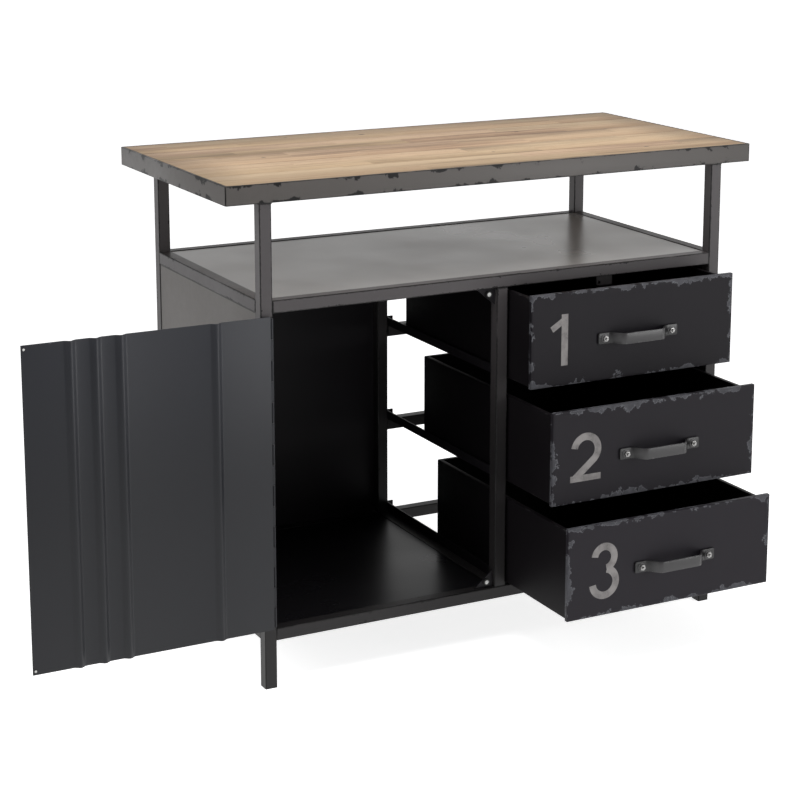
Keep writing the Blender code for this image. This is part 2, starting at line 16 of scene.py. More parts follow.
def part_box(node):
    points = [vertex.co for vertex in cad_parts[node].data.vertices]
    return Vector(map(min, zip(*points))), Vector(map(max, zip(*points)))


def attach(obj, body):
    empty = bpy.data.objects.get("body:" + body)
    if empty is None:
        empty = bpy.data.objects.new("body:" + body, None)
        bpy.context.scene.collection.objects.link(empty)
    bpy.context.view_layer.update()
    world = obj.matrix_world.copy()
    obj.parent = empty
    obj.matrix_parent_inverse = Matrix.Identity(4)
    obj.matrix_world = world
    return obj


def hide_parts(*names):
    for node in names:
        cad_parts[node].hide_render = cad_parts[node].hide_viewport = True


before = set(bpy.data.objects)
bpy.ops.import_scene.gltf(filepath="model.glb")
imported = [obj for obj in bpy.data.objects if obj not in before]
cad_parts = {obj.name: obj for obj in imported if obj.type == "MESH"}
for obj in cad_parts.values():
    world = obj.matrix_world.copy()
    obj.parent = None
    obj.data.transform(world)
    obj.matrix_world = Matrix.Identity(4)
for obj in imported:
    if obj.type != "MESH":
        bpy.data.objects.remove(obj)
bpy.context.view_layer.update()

LOG = logging.getLogger("sideboard")

Colour = tuple[float, float, float]
Test = Callable[[object], bool]
Span = tuple[int, float, float]
MM = 0.001
NEAR = MM / 10


def srgb(code: str) -> Colour:
    """Turns six hexadecimal digits into linear red, green and blue."""
    parts = [int(code[i:i + 2], 16) / 255 for i in (0, 2, 4)]
    return tuple(p / 12.92 if p <= 0.04045 else ((p + 0.055) / 1.055) ** 2.4 for p in parts)


def shaded(colour: Colour, share: float) -> Colour:
    """A colour at a share of its brightness."""
    return tuple(part * share for part in colour)

def rotation(degrees: float, axis: str) -> Matrix:
    """A turn about one axis."""
    return Matrix.Rotation(math.radians(degrees), 4, axis)

# Modelling ---------------------------------------------------------------------------------


class Kind(Enum):
    """What a selection is made of."""

    FACES = "FACE"
    EDGES = "EDGE"
    POINTS = "VERT"


class Bench:
    """The moves that every piece is made with."""

    @staticmethod
    def clear() -> None:
        """Deselects everything."""
        for item in bpy.context.selected_objects:
            item.select_set(False)

    @staticmethod
    def take(piece: bpy.types.Object) -> bpy.types.Object:
        """Makes a piece the only one selected, and active."""
        Bench.clear()
        piece.select_set(True)
        bpy.context.view_layer.objects.active = piece
        return piece

    @staticmethod
    def named(name: str) -> bpy.types.Object:
        """Names the primitive that was just added, and its mesh."""
        piece = bpy.context.active_object
        piece.name = name
        piece.data.name = name
        return piece

    @staticmethod
    def block(name: str, low: Vector, high: Vector) -> bpy.types.Object:
        """Adds a cube at its size and place.

        Args:
            name: The piece's name.
            low: Its lowest corner.
            high: Its highest corner.

        Returns:
            The piece, with its place in its mesh.
        """
        Bench.clear()
        low, high = Vector(low), Vector(high)
        bpy.ops.mesh.primitive_cube_add(size=1, location=(low + high) / 2, scale=high - low)
        return Bench.settle(Bench.named(name))

    @staticmethod
    def drum(name: str, radius: float, depth: float, sides: int) -> bpy.types.Object:
        """Adds a cylinder with a number of sides, standing on the origin."""
        Bench.clear()
        bpy.ops.mesh.primitive_cylinder_add(
            vertices=sides, radius=radius, depth=depth, location=(0, 0, depth / 2)
        )
        return Bench.settle(Bench.named(name))

    @staticmethod
    def strip(name: str, x0: float, x1: float, width: float) -> bpy.types.Object:
        """Adds a flat strip along X, centred on Y = 0."""
        Bench.clear()
        bpy.ops.mesh.primitive_plane_add(size=1, location=((x0 + x1) / 2, 0, 0))
        piece = Bench.named(name)
        piece.scale = (x1 - x0, width, 1)
        return Bench.settle(piece)

    @staticmethod
    def settle(piece: bpy.types.Object) -> bpy.types.Object:
        """Puts a piece's place, turn and scale into its mesh."""
        Bench.take(piece)
        bpy.ops.object.transform_apply(location=True, rotation=True, scale=True)
        return piece

    @staticmethod
    def place(piece: bpy.types.Object, matrix: Matrix) -> bpy.types.Object:
        """Moves a finished piece and puts the move into its mesh."""
        piece.matrix_world = matrix
        return Bench.settle(piece)

    @staticmethod
    @contextmanager
    def editing(piece: bpy.types.Object) -> Iterator[None]:
        """Edit mode on one piece."""
        Bench.take(piece)
        bpy.ops.object.mode_set(mode="EDIT")
        try:
            yield
        finally:
            bpy.ops.object.mode_set(mode="OBJECT")

    @staticmethod
    def pick(kind: Kind, test: Test) -> None:
        """Selects what passes a test on the piece in edit mode.

        Args:
            kind: Faces, edges or points.
            test: Takes a face, edge or point and says whether it is wanted.
        """
        bpy.ops.mesh.select_mode(type=kind.value)
        bpy.ops.mesh.select_all(action="DESELECT")
        mesh = bmesh.from_edit_mesh(bpy.context.active_object.data)
        items = {Kind.FACES: mesh.faces, Kind.EDGES: mesh.edges, Kind.POINTS: mesh.verts}[kind]
        for item in [item for item in items if test(item)]:
            item.select_set(True)
        bmesh.update_edit_mesh(bpy.context.active_object.data)

    @staticmethod
    def apply(piece: bpy.types.Object, kind: str, **settings: object) -> None:
        """Adds a modifier with its settings and applies it."""
        Bench.take(piece)
        step = piece.modifiers.new(kind.title(), kind)
        for key, value in settings.items():
            setattr(step, key, value)
        bpy.ops.object.modifier_apply(modifier=step.name)

    @staticmethod
    def round_edges(piece: bpy.types.Object, width: float, segments: int = 2) -> None:
        """Rounds every edge sharper than 30 degrees."""
        Bench.apply(
            piece, "BEVEL", width=width, segments=segments, limit_method="ANGLE",
            angle_limit=math.radians(30), harden_normals=False,
        )

    @staticmethod
    def thicken(piece: bpy.types.Object, thickness: float, offset: float = -1.0) -> None:
        """Gives a surface the thickness of its sheet, inwards unless the offset differs."""
        Bench.apply(piece, "SOLIDIFY", thickness=thickness, offset=offset, use_even_offset=True)

    @staticmethod
    def extrude(x: float, y: float, z: float) -> None:
        """Extrudes what is selected by one step."""
        bpy.ops.mesh.extrude_region_move(TRANSFORM_OT_translate={"value": (x, y, z)})

    @staticmethod
    def finish(piece: bpy.types.Object, angle: float = 35) -> bpy.types.Object:
        """Turns the faces outwards and smooths what is round."""
        with Bench.editing(piece):
            bpy.ops.mesh.select_all(action="SELECT")
            bpy.ops.mesh.normals_make_consistent(inside=False)
        Bench.take(piece)
        bpy.ops.object.shade_smooth_by_angle(angle=math.radians(angle))
        return piece

    @staticmethod
    def join(name: str, pieces: list[bpy.types.Object]) -> bpy.types.Object:
        """Joins pieces into the first one and names it."""
        Bench.take(pieces[0])
        for piece in pieces[1:]:
            piece.select_set(True)
        bpy.ops.object.join()
        return Bench.named(name)

    @staticmethod
    def copy(piece: bpy.types.Object, name: str) -> bpy.types.Object:
        """Copies a piece, with a mesh of its own."""
        Bench.take(piece)
        bpy.ops.object.duplicate(linked=False)
        return Bench.named(name)

    @staticmethod
    def union(piece: bpy.types.Object, other: bpy.types.Object) -> bpy.types.Object:
        """Makes one closed body of two and removes the second object."""
        Bench.apply(piece, "BOOLEAN", operation="UNION", solver="EXACT", object=other)
        bpy.data.objects.remove(other, do_unlink=True)
        return piece


def hand_in(
    piece: bpy.types.Object, body: str, replaces: Optional[str] = None
) -> None:
    """Fixes a finished piece to its body and reports it.

    Args:
        piece: The finished piece.
        body: The body it rides on.
        replaces: The CAD node it stands for, if any.
    """
    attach(piece, body)
    if replaces:
        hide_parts(replaces)
    LOG.info("%-22s on %-8s %6d faces", piece.name, body, len(piece.data.polygons))


# Shader maths ------------------------------------------------------------------------------


class Signal:
    """A value in a material, which can be used in sums."""

    def __init__(self, sheet: "Sheet", socket: bpy.types.NodeSocket) -> None:
        """Wraps an output socket of a node on a sheet."""
        self.sheet = sheet
        self.socket = socket

    def _with(self, operation: str, *values: "Operand") -> "Signal":
        """Adds a Math node on the given values."""
        return self.sheet.node(
            "ShaderNodeMath", {"operation": operation}, dict(enumerate(values))
        )

    def __add__(self, other: "Operand") -> "Signal":
        """Sum."""
        return self._with("ADD", self, other)

    def __radd__(self, other: "Operand") -> "Signal":
        """Sum, the other way round."""
        return self._with("ADD", other, self)

    def __sub__(self, other: "Operand") -> "Signal":
        """Difference."""
        return self._with("SUBTRACT", self, other)

    def __rsub__(self, other: "Operand") -> "Signal":
        """Difference, the other way round."""
        return self._with("SUBTRACT", other, self)

    def __mul__(self, other: "Operand") -> "Signal":
        """Product."""
        return self._with("MULTIPLY", self, other)

    def __rmul__(self, other: "Operand") -> "Signal":
        """Product, the other way round."""
        return self._with("MULTIPLY", other, self)

    def __truediv__(self, other: "Operand") -> "Signal":
        """Quotient."""
        return self._with("DIVIDE", self, other)

    def floor(self) -> "Signal":
        """Whole part."""
        return self._with("FLOOR", self)

    def least(self, other: "Operand") -> "Signal":
        """The smaller of two."""
        return self._with("MINIMUM", self, other)

    def most(self, other: "Operand") -> "Signal":
        """The larger of two."""
        return self._with("MAXIMUM", self, other)

    def step(self, start: float, end: float) -> "Signal":
        """A smooth step from 0 at start to 1 at end; start may be the larger."""
        settings = {"interpolation_type": "SMOOTHSTEP"}
        if start < end:
            values = {"Value": self, "From Min": start, "From Max": end}
            return self.sheet.node("ShaderNodeMapRange", settings, values)
        values = {"Value": self, "From Min": end, "From Max": start, "To Min": 1.0, "To Max": 0.0}
        return self.sheet.node("ShaderNodeMapRange", settings, values)


Operand = Union[Signal, float, int]
Value = Union[Signal, float, int, tuple]


class Sheet:
    """A material's node tree, drawn up node by node."""

    def __init__(self, name: str) -> None:
        """Starts a material with an empty Principled shader."""
        self.material = bpy.data.materials.new(name)
        self.material.use_nodes = True
        self.tree = self.material.node_tree
        self.shader = self.tree.nodes["Principled BSDF"]
        coordinates = self.tree.nodes.new("ShaderNodeTexCoord")
        self.point = Signal(self, coordinates.outputs["Object"])

    def node(
        self, kind: str, settings: dict[str, object], values: dict[Union[str, int], Value],
        output: int = 0,
    ) -> Signal:
        """Adds any node.

        Args:
            kind: The node's type.
            settings: Its own settings, which are made first.
            values: What goes into its sockets, by name or number.
            output: The number of the wanted output, among those in use.

        Returns:
            That output.
        """
        made = self.tree.nodes.new(kind)
        for key, value in settings.items():
            setattr(made, key, value)
        for key, value in values.items():
            self.feed(made, key, value)
        outputs = [socket for socket in made.outputs if socket.enabled]
        return Signal(self, outputs[output])

    def feed(self, node: bpy.types.Node, key: Union[str, int], value: Value) -> None:
        """Links or sets one socket of a node."""
        if isinstance(key, int):
            socket = node.inputs[key]
        else:
            socket = next(s for s in node.inputs if s.enabled and s.name == key)
        if isinstance(value, Signal):
            self.tree.links.new(value.socket, socket)
        elif socket.type == "RGBA":
            socket.default_value = (*value, 1.0)
        else:
            socket.default_value = value

    def stretched(self, scale: tuple[float, float, float]) -> Signal:
        """The point on the piece, scaled."""
        return self.node("ShaderNodeMapping", {}, {"Vector": self.point, "Scale": scale})

    def vector(self, x: Operand, y: Operand, z: Operand) -> Signal:
        """A point from its three coordinates."""
        return self.node("ShaderNodeCombineXYZ", {}, {"X": x, "Y": y, "Z": z})

    def chance(self, seed: Signal) -> Signal:
        """A random value from 0 to 1 for each whole seed."""
        return self.node("ShaderNodeTexWhiteNoise", {"noise_dimensions": "1D"}, {"W": seed})

    def axes(self) -> tuple[Signal, Signal, Signal]:
        """X, Y and Z of the point on the piece, in metres."""
        values = {"Vector": self.point}
        return tuple(self.node("ShaderNodeSeparateXYZ", {}, values, i) for i in range(3))

    def noise(
        self, scale: float, detail: float = 3.0, rough: float = 0.5, at: Optional[Signal] = None,
        swirl: float = 0.0,
    ) -> Signal:
        """Fractal noise about 0.5."""
        values = {
            "Vector": at or self.point, "Scale": scale, "Detail": detail, "Roughness": rough,
            "Distortion": swirl,
        }
        return self.node("ShaderNodeTexNoise", {"normalize": True}, values, 0)

    def mix(self, share: Operand, first: Value, second: Value, blend: str = "MIX") -> Signal:
        """Blends two colours."""
        settings = {"data_type": "RGBA", "blend_type": blend, "clamp_factor": True}
        return self.node("ShaderNodeMix", settings, {"Factor": share, "A": first, "B": second})

    def edge(self, low: Vector, high: Vector) -> Signal:
        """Distance to the nearest edge of the box that a piece fills."""
        near = [(a - low[i]).least(high[i] - a) for i, a in enumerate(self.axes())]
        lesser, greater = near[0].least(near[1]), near[0].most(near[1])
        return lesser.most(greater.least(near[2]))

    def bump(self, height: Signal, depth: float, strength: float = 1.0) -> Signal:
        """A normal from a height of 0 to 1, depth metres high."""
        values = {"Strength": strength, "Distance": depth, "Height": height}
        return self.node("ShaderNodeBump", {}, values)

    def surface(self, **values: Value) -> Optional[bpy.types.Material]:
        """Fills the shader's sockets; an underscore stands for a space."""
        for key, value in values.items():
            self.feed(self.shader, key.replace("_", " "), value)
        return self.material


class Sky(Sheet):
    """A world's node tree, whose point is a direction."""

    def __init__(self, name: str) -> None:
        """Starts a world with an empty background."""
        self.material = None
        self.world = bpy.data.worlds.new(name)
        self.world.use_nodes = True
        self.tree = self.world.node_tree
        self.shader = self.tree.nodes["Background"]
        direction = self.tree.nodes.new("ShaderNodeTexCoord")
        self.point = Signal(self, direction.outputs["Generated"])


# Finishes ----------------------------------------------------------------------------------


def dress(piece: bpy.types.Object, *materials: bpy.types.Material) -> None:
    """Gives a piece its materials in place of any it had."""
    piece.data.materials.clear()
    for material in materials:
        piece.data.materials.append(material)


def extent(piece: bpy.types.Object) -> tuple[Vector, Vector]:
    """Lowest and highest corner of a piece's mesh."""
    points = [v.co for v in piece.data.vertices]
    return (
        Vector([min(p[i] for p in points) for i in range(3)]),
        Vector([max(p[i] for p in points) for i in range(3)]),
    )


# Heights between which painted shade towards the floor gives way to full paint, and flake levels
# of a chip and of its core.
SHADE_HEIGHTS = (0.30, 0.64)
CHIP = (0.535, 0.548)
CORE = (0.552, 0.565)
# Near-black colour of painted shade, on the inner faces of the side panels and on the handle tabs
# by the face they are fixed to.
SHADE_COLOUR = srgb("100f10")


@dataclass(frozen=True)
class Paint:
    """Worn paint on steel: mottled, scuffed, and chipped where the edges take knocks, with a
    painted highlight round each chip, and, where asked, painted shade towards the floor and along
    one axis.
    """

    name: str
    colour: Colour
    bare: Colour
    # Colour of the painted highlight round the edge of each chip.
    ring: Colour
    roughness: float = 0.45
    bare_roughness: float = 0.5
    specular: float = 0.3
    mottle: float = 0.10
    reach: float = 0.006
    amount: float = 0.5
    chip_scale: float = 120.0
    patch_scale: float = 14.0
    seam: float = 0.0
    streak: float = 0.0
    line: float = 0.0
    grain: float = 0.5
    swing: float = 0.12
    # Share of the colour kept near the floor under painted shade, which darkens the paint towards
    # the floor; 1 means none.
    low_shade_share: float = 1.0

    def material(
        self, name: str, low: Vector, high: Vector, shade_span: Optional[Span] = None
    ) -> bpy.types.Material:
        """Draws up the finish for a piece that fills the box from low to high.

        Args:
            name: The piece's name.
            low: The box's lowest corner.
            high: The box's highest corner.
            shade_span: An axis, where along it the paint ends and where near-black painted shade
                begins.

        Returns:
            The material.
        """
        sheet = Sheet(f"{self.name}_{name}")
        edge = sheet.edge(low, high)
        cloud = sheet.noise(5.0, 3.0)
        grit = sheet.noise(90.0, 4.0, 0.6)
        patch = sheet.noise(self.patch_scale, 2.0, 0.5)
        flake = sheet.noise(self.chip_scale, 5.0, 0.62)
        field_value = flake * 0.55 + patch * 0.45
        level = (field_value + self.amount * 0.1) - edge * (0.10 / self.reach)
        chip = level.step(*CHIP)
        core = level.step(*CORE)
        ring = chip * (1 - core)

        tone = (cloud - 0.5) * (2 * self.mottle) + (grit - 0.5) * self.mottle
        if self.streak:
            run = sheet.noise(1.0, 4.0, 0.6, at=sheet.stretched((55.0, 55.0, 1.6)))
            tone = tone + (run - 0.5) * self.streak
        light = tuple(min(1.0, c * 1.6 + 0.02) for c in self.colour)
        dark = shaded(self.colour, 0.4)
        paint = sheet.mix(tone.step(0.0, 0.5), self.colour, light)
        paint = sheet.mix((0.0 - tone).step(0.0, 0.5), paint, dark)
        bare = sheet.mix(grit.step(0.35, 0.65), shaded(self.bare, 0.7), self.bare)
        colour = sheet.mix(chip, paint, bare)
        # Painted highlight: a lighter ring round each chip's edge.
        colour = sheet.mix(ring * 0.8, colour, self.ring)
        if self.seam:
            joint = edge.step(self.seam * 1.6, self.seam * 0.7)
            colour = sheet.mix(joint * 0.85, colour, shaded(self.colour, 0.12))
        if self.line:
            worn = (edge + (flake - 0.5) * (2 * self.line)).step(self.line, self.line * 0.55)
            worn = worn * (patch + cloud * 0.5).step(0.55, 0.66)
            colour = sheet.mix(worn * 0.92, colour, shaded(self.colour, 0.12))
        # Painted shade: the colour darkens towards the floor, down to the share above.
        if self.low_shade_share < 1:
            height = sheet.axes()[2].step(*SHADE_HEIGHTS)
            painted_shade = sheet.mix(height, (self.low_shade_share,) * 3, (1.0, 1.0, 1.0))
            colour = sheet.mix(1.0, colour, painted_shade, "MULTIPLY")
        # Near-black painted shade along one axis of the piece, past where the paint ends.
        if shade_span:
            axis, start, end = shade_span
            colour = sheet.mix(sheet.axes()[axis].step(start, end), colour, SHADE_COLOUR)
        rough = self.roughness + (cloud - 0.5) * 0.22 + (grit - 0.5) * self.swing
        rough = rough + chip * (self.bare_roughness - self.roughness)
        relief = grit * 0.10 + (1 - chip) * 0.9
        return sheet.surface(
            Base_Color=colour, Roughness=rough, Specular_IOR_Level=self.specular,
            Normal=sheet.bump(relief, 0.12 * MM, self.grain),
        )

    def coat(
        self, piece: bpy.types.Object, name: str = "", shade_span: Optional[Span] = None
    ) -> None:
        """Paints a piece, with its chips along the edges of the box that it fills."""
        dress(piece, self.material(name or piece.name, *extent(piece), shade_span))


@dataclass(frozen=True)
class Steel:
    """Bare or plated steel with fine scratches."""

    name: str
    colour: Colour
    roughness: float = 0.28

    def material(self) -> bpy.types.Material:
        """Draws up the finish."""
        sheet = Sheet(self.name)
        brush = sheet.noise(1.0, 4.0, 0.6, at=sheet.stretched((900.0, 240.0, 900.0)))
        spots = sheet.noise(260.0, 4.0, 0.6)
        dark = shaded(self.colour, 0.45)
        colour = sheet.mix(spots.step(0.56, 0.70), self.colour, dark)
        return sheet.surface(
            Base_Color=colour, Metallic=1.0, Roughness=self.roughness + (brush - 0.5) * 0.3,
            Normal=sheet.bump(brush, 0.05 * MM, 0.3),
        )


@dataclass(frozen=True)
class Knot:
    """A knot in a plank: which board, how far along and across it, and its radius."""

    board: int
    along: float
    across: float
    radius: float


@dataclass(frozen=True)
class Timber:
    """Oiled reclaimed wood: staves glued end to end, with grain, pores and a few knots."""

    name: str = "oiled_wood"
    pale: Colour = srgb("b59a7a")
    tan: Colour = srgb("957a5d")
    brown: Colour = srgb("5f4631")
    knot: Colour = srgb("2e1f15")
    grime: Colour = srgb("69563f")
    pink: Colour = srgb("bb9580")
    green: Colour = srgb("9c9272")
    stave: float = 0.31
    knots: tuple[Knot, ...] = (
        Knot(5, 0.44, 0.42, 0.0042), Knot(5, 0.30, 0.72, 0.0026), Knot(4, 0.71, 0.35, 0.0034),
        Knot(3, 0.17, 0.60, 0.0030), Knot(2, 0.55, 0.30, 0.0024), Knot(1, 0.82, 0.55, 0.0036),
    )

    def material(
        self, number: int, low: Vector, high: Vector, top: tuple[Vector, Vector]
    ) -> bpy.types.Material:
        """Draws up one board's wood.

        Args:
            number: The board's number, from the front.
            low: The board's lowest corner.
            high: The board's highest corner.
            top: The lowest and highest corner of all the boards together.

        Returns:
            The material.
        """
        sheet = Sheet(f"{self.name}_{number}")
        x, y, _ = sheet.axes()
        chance = random.Random(number * 7)
        place = (x + chance.uniform(0.1, 0.9)) / self.stave
        half = (y - (low.y + high.y) / 2).step(-0.2 * MM, 0.2 * MM)
        row = half + number * 2
        cell = (place + row * 0.37).floor() + row * 13
        stave = sheet.chance(cell)
        hue = sheet.chance(cell + 71)

        push: Operand = 0.0
        mark: Operand = 0.0
        for knot in (k for k in self.knots if k.board == number):
            kx = low.x + (high.x - low.x) * knot.along
            ky = low.y + (high.y - low.y) * knot.across
            dx, dy = (x - kx) / 2.4, y - ky
            away = (dx * dx + dy * dy) / (knot.radius ** 2)
            push = (away * 0.12).step(1.0, 0.0) * (0.9 * knot.radius) + push
            dx = (x - kx) / 1.5
            round_ = (dx * dx + dy * dy) / (knot.radius ** 2)
            wobble = sheet.noise(700.0, 2.0)
            mark = (round_ + (wobble - 0.5) * 1.2).step(1.3, 0.35).most(mark)

        offset = cell * 3.17
        across = y + push
        grain_at = sheet.vector(x * 1.3 + offset, across * 34, offset)
        fine_at = sheet.vector(x * 5 + offset, across * 210, offset)
        pore_at = sheet.vector(x * 42 + offset, across * 1100, offset)
        grain = sheet.noise(1.0, 6.0, 0.62, at=grain_at, swirl=0.5)
        fine = sheet.noise(1.0, 4.0, 0.6, at=fine_at, swirl=0.2)
        pore = sheet.noise(1.0, 2.0, 0.5, at=pore_at)
        wide = sheet.noise(1.0, 3.0, 0.5, at=sheet.stretched((2.2, 9.0, 1.0)))

        tone = grain * 0.52 + fine * 0.28 + wide * 0.20 + (stave - 0.5) * 0.05
        colour = sheet.mix(tone.step(0.40, 0.58), self.pale, self.tan)
        colour = sheet.mix(tone.step(0.52, 0.66) * 0.95, colour, self.brown)
        stain = (wide * 0.6 + grain * 0.4).step(0.50, 0.66)
        colour = sheet.mix(stain * 0.35, colour, self.brown)
        colour = sheet.mix(hue.step(0.45, 0.95) * 0.14, colour, self.pink)
        colour = sheet.mix(hue.step(0.50, 0.05) * 0.16, colour, self.green)
        pit = pore.step(0.60, 0.72)
        colour = sheet.mix(pit * 0.50, colour, self.brown)
        if isinstance(mark, Signal):
            colour = sheet.mix(mark * 0.92, colour, self.knot)
        rim = sheet.edge(low, high).step(2.4 * MM, 0.3 * MM)
        colour = sheet.mix(rim * 0.55, colour, self.brown)
        border = sheet.edge(*top)
        dirt = (border * 8 + (wide - 0.5) * 0.9 + (grain - 0.5) * 0.6).step(0.75, -0.1)
        colour = sheet.mix(dirt * 0.56, colour, self.grime)
        outer = (border + (fine - 0.5) * MM).step(1.5 * MM, 0.6 * MM)
        colour = sheet.mix(outer * 0.92, colour, shaded(self.knot, 0.3))
        height = fine * 0.5 + (1 - pit) * 0.5
        return sheet.surface(
            Base_Color=colour, Roughness=0.52 + (fine - 0.5) * 0.25 + pit * 0.1,
            Specular_IOR_Level=0.35, Normal=sheet.bump(height, 0.15 * MM, 0.6),
        )


@dataclass(frozen=True)
class Marking:
    """Thin stencilled paint, scratched through to the paint under it."""

    name: str
    colour: Colour
    under: Colour

    def material(self, name: str) -> bpy.types.Material:
        """Draws up the finish for one numeral."""
        sheet = Sheet(f"{self.name}_{name}")
        grit = sheet.noise(420.0, 5.0, 0.7)
        cloud = sheet.noise(45.0, 3.0, 0.6)
        wipe = sheet.noise(1.0, 3.0, 0.6, at=sheet.stretched((900.0, 900.0, 90.0)))
        wear = grit * 0.45 + cloud * 0.45 + wipe * 0.10
        gone = wear.step(0.56, 0.64)
        tone = sheet.mix((cloud * 0.85 + wipe * 0.15).step(0.36, 0.64), self.colour,
                         shaded(self.colour, 0.62))
        return sheet.surface(
            Base_Color=sheet.mix(gone * 0.85, tone, self.under), Roughness=0.62 + gone * -0.15,
            Specular_IOR_Level=0.25, Normal=sheet.bump(1 - gone, 0.08 * MM, 0.5),
        )


# The frame is darkened towards the floor by painted shade.
FRAME_PAINT = Paint(
    "frame_paint", srgb("3f3c3d"), srgb("141314"), srgb("565253"), roughness=0.42, amount=0.2,
    reach=0.0045, specular=0.20, mottle=0.16, line=0.0021, low_shade_share=0.28,
)
RIM_PAINT = Paint(
    "rim_paint", srgb("454240"), srgb("0f0e0e"), srgb("4c4947"), roughness=0.42, amount=0.36,
    reach=0.0085, specular=0.22, mottle=0.16, chip_scale=60.0, patch_scale=26.0, line=0.0013,
)
SHELF_PAINT = Paint(
    "shelf_paint", srgb("6b6967"), srgb("302e2c"), srgb("8a8784"), roughness=0.30, amount=-0.6,
    reach=0.004, specular=0.5, mottle=0.06, seam=0.0016, grain=0.0, swing=0.0,
)
PANEL_PAINT = Paint(
    "panel_paint", srgb("4e4b49"), srgb("1c1a19"), srgb("65625f"), roughness=0.50, amount=-0.6,
    reach=0.004, specular=0.25, mottle=0.08, seam=0.0014, grain=0.2,
)
# The inside sheets, floor sheet and drawer boxes are near-black: partly their own dark paint,
# partly painted shade for the unlit inside of the carcass.
INSIDE_PAINT = Paint(
    "inside_paint", srgb("161417"), srgb("242324"), srgb("2a292a"), roughness=0.42, amount=-0.6,
    reach=0.003, specular=0.14, mottle=0.10, grain=0.1,
)
FLOOR_PAINT = Paint(
    "floor_paint", srgb("111012"), srgb("242324"), srgb("2a292a"), roughness=0.30, amount=-0.6,
    reach=0.003, specular=0.22, mottle=0.06, grain=0.0, swing=0.0, seam=0.0016,
)
BOX_PAINT = Paint(
    "box_paint", srgb("0e0c0e"), srgb("262526"), srgb("2c2b2c"), roughness=0.45, amount=0.1,
    reach=0.0022, specular=0.08, mottle=0.10, grain=0.2,
)
FRONT_PAINT = Paint(
    "front_paint", srgb("1d1b1f"), srgb("434347"), srgb("5b5c60"), roughness=0.46, amount=0.72,
    reach=0.0085, specular=0.10, mottle=0.12, chip_scale=66.0, patch_scale=22.0,
)
# The door is darkened towards the floor by painted shade.
DOOR_PAINT = Paint(
    "door_paint", srgb("292a2e"), srgb("404145"), srgb("57585b"), roughness=0.36, amount=-0.1,
    reach=0.0022, specular=0.20, mottle=0.08, streak=0.10, grain=0.15, swing=0.04, low_shade_share=0.55,
)
HANDLE_PAINT = Paint(
    "handle_paint", srgb("2c2b2c"), srgb("4c4b4c"), srgb("5a595a"), roughness=0.34, amount=0.2,
    reach=0.0022, specular=0.40, mottle=0.10, chip_scale=260.0, patch_scale=60.0,
)
RUBBER = Paint(
    "magnet_cup", srgb("151415"), srgb("2a2a2a"), srgb("3a3a3a"), roughness=0.5, amount=-1.0,
)
# The near-white of the magnet and striker faces is partly their bright metal, partly a painted
# reflection.
MAGNET_FACE = Paint(
    "magnet_face", srgb("f0f0ee"), srgb("c8c8c6"), srgb("d8d8d6"), roughness=0.35, amount=-1.0,
    specular=0.5, mottle=0.03,
)
BOLT_STEEL = Steel("bolt_steel", srgb("8d8c8b"), 0.38)
PIN_STEEL = Steel("pin_steel", srgb("9a9896"), 0.30)
NUMERAL_PAINT = Marking("numeral_paint", srgb("7a7776"), srgb("1d1b1f"))


# The pieces --------------------------------------------------------------------------------


@dataclass
class PlankTop:
    """Boards laid in a mitred angle-iron rim."""

    boards: int = 5
    thickness: float = 0.003
    ledge: float = 0.020
    mitre_gap: float = 0.0002
    edge_round: float = 0.0007
    wood: Timber = field(default_factory=Timber)

    def build(self) -> None:
        """Builds the boards and the rim."""
        for number in range(1, self.boards + 1):
            self.board(number)
        for quarter, side in enumerate(("front", "right", "back", "left")):
            self.rim(f"rim_{side}", 90 * quarter)

    def board(self, number: int) -> None:
        """Builds one plank, its long edges eased by wear."""
        node = f"top_board_{number}"
        low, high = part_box(node)
        piece = Bench.block(f"plank_{number}", low, high)
        with Bench.editing(piece):
            Bench.pick(Kind.EDGES, lambda e: all(v.co.z > high.z - MM for v in e.verts))
            bpy.ops.mesh.bevel(offset=0.9 * MM, segments=3, profile=0.6)
            Bench.pick(
                Kind.EDGES, lambda e: abs(e.verts[0].co.x - e.verts[1].co.x) > 0.5
            )
            bpy.ops.mesh.subdivide(number_cuts=30)
        chance = random.Random(number)
        ease = [chance.uniform(0.0, 0.35 * MM) for _ in range(64)]
        for point in piece.data.vertices:
            if point.co.z < high.z - 2 * MM:
                continue
            share = (point.co.x - low.x) / (high.x - low.x)
            side = 0 if point.co.y < (low.y + high.y) / 2 else 32
            point.co.z -= ease[side + min(31, int(share * 31))]
        Bench.finish(piece)
        whole = (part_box("top_board_1")[0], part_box(f"top_board_{self.boards}")[1])
        dress(piece, self.wood.material(number, low, high, whole))
        hand_in(piece, "carcass", node)

    def rim(self, node: str, turn: int) -> None:
        """Builds one angle iron along +X and turns it into its place.

        Args:
            node: The CAD node it stands for.
            turn: Its turn about Z, in degrees.
        """
        low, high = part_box(node)
        size = high - low
        length = max(size.x, size.y)
        piece = Bench.block(f"{node}_iron", (0, 0, 0), (length, self.thickness, size.z))
        with Bench.editing(piece):
            bpy.ops.mesh.select_all(action="SELECT")
            bpy.ops.mesh.bisect(plane_co=(0, 0, self.thickness), plane_no=(0, 0, 1))
            Bench.pick(
                Kind.FACES,
                lambda f: f.normal.y > 0.9 and f.calc_center_median().z < self.thickness,
            )
            Bench.extrude(0, self.ledge - self.thickness, 0)
            for end, sign in ((0.0, 1), (length, -1)):
                for depth in (0.0, self.thickness, self.ledge):
                    Bench.pick(
                        Kind.POINTS,
                        lambda v: abs(v.co.x - end) < NEAR and abs(v.co.y - depth) < NEAR,
                    )
                    along = sign * (depth + self.mitre_gap)
                    bpy.ops.transform.translate(value=(along, 0, 0))
        Bench.round_edges(piece, self.edge_round)
        corner = {0: low, 90: (high.x, low.y, low.z), 180: (high.x, high.y, low.z),
                  270: (low.x, high.y, low.z)}[turn]
        Bench.place(piece, Matrix.Translation(corner) @ rotation(turn, "Z"))
        Bench.finish(piece)
        RIM_PAINT.coat(piece)
        hand_in(piece, "carcass", node)


